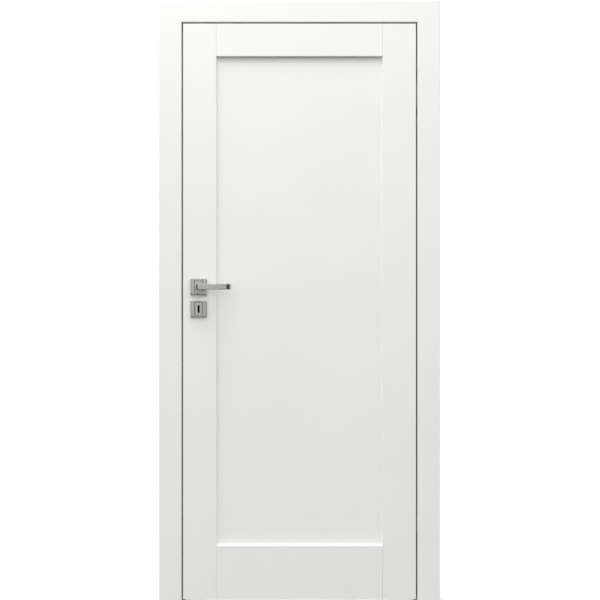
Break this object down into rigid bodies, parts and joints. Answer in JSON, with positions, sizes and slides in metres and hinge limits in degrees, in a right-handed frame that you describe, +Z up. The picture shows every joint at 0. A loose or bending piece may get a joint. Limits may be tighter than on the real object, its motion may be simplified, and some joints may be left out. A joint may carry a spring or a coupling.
{
  "type": "interior door with frame",
  "caption": "White interior door with one recessed panel, flush closing in a cased frame, with square-rose lever handles, keyholes and concealed hinges.",
  "frame": {"origin": "on the outer face of the hinge side jamb, at floor level, in the middle of the wall's thickness", "axes": "+Z up; +X to the right of a person facing the side that the leaf opens towards; +Y through the wall, away from that person"},
  "size_m": [0.986, 0.182, 2.112],
  "materials": {
    "white_lacquer": "satin lacquer",
    "seal_rubber": "matte",
    "plate_steel": "brushed",
    "lock_steel": "zinc grey",
    "satin_nickel": "satin",
    "hinge_alloy": "matt chrome",
    "hinge_arm_steel": "satin"
  },
  "bodies": {
    "frame": {"hinge_side_jamb": "white_lacquer", "lock_side_jamb": "white_lacquer", "head_jamb": "white_lacquer", "front_casing_hinge_side": "white_lacquer", "front_casing_lock_side": "white_lacquer", "front_casing_head": "white_lacquer", "rear_casing_hinge_side": "white_lacquer", "rear_casing_lock_side": "white_lacquer", "rear_casing_head": "white_lacquer", "seal_hinge_side": "seal_rubber", "seal_lock_side": "seal_rubber", "seal_head": "seal_rubber", "strike_plate": "plate_steel", "upper_hinge_frame_housing": "hinge_alloy", "lower_hinge_frame_housing": "hinge_alloy"},
    "leaf": {"hinge_stile": "white_lacquer", "lock_stile": "white_lacquer", "top_rail": "white_lacquer", "bottom_rail": "white_lacquer", "door_panel": "white_lacquer", "lock_case": "lock_steel", "lock_forend": "plate_steel", "latch_bolt": "lock_steel", "dead_bolt": "lock_steel", "front_lever_rose": "satin_nickel", "front_lever_plate": "satin_nickel", "front_key_rose": "satin_nickel", "front_key_plate": "satin_nickel", "rear_lever_rose": "satin_nickel", "rear_lever_plate": "satin_nickel", "rear_key_rose": "satin_nickel", "rear_key_plate": "satin_nickel", "upper_hinge_leaf_housing": "hinge_alloy", "lower_hinge_leaf_housing": "hinge_alloy"},
    "levers": {"front_lever": "satin_nickel", "rear_lever": "satin_nickel", "spindle": "lock_steel"},
    "frame_arms": {"upper_hinge_frame_arm": "hinge_arm_steel", "lower_hinge_frame_arm": "hinge_arm_steel"},
    "leaf_arms": {"upper_hinge_leaf_arms": "hinge_arm_steel", "lower_hinge_leaf_arms": "hinge_arm_steel"}
  },
  "joints": [
    {"name": "leaf_swing", "type": "hinge", "parent": "frame", "child": "leaf", "pos_m": [-0.0365, -0.0645, 1], "axis": [0, 0, 1], "range_deg": [0, 170]},
    {"name": "lever_turn", "type": "hinge", "parent": "leaf", "child": "levers", "pos_m": [-0.802, -0.042, 1.104], "axis": [0, 1, 0], "range_deg": [0, 40], "stiffness_Nm_per_rad": 1.5, "springref_deg": -20.05},
    {"name": "frame_arm_turn", "type": "hinge", "parent": "frame", "child": "frame_arms", "pos_m": [-0.0235, -0.0495, 1], "axis": [0, 0, 1], "range_deg": [0, 85]},
    {"name": "leaf_arm_turn", "type": "hinge", "parent": "leaf", "child": "leaf_arms", "pos_m": [-0.0495, -0.0495, 1], "axis": [0, 0, 1], "range_deg": [-85, 0]}
  ],
  "couplings": [
    {"joint": "frame_arm_turn", "follows": "leaf_swing", "ratio": 0.5},
    {"joint": "leaf_arm_turn", "follows": "leaf_swing", "ratio": -0.5}
  ]
}
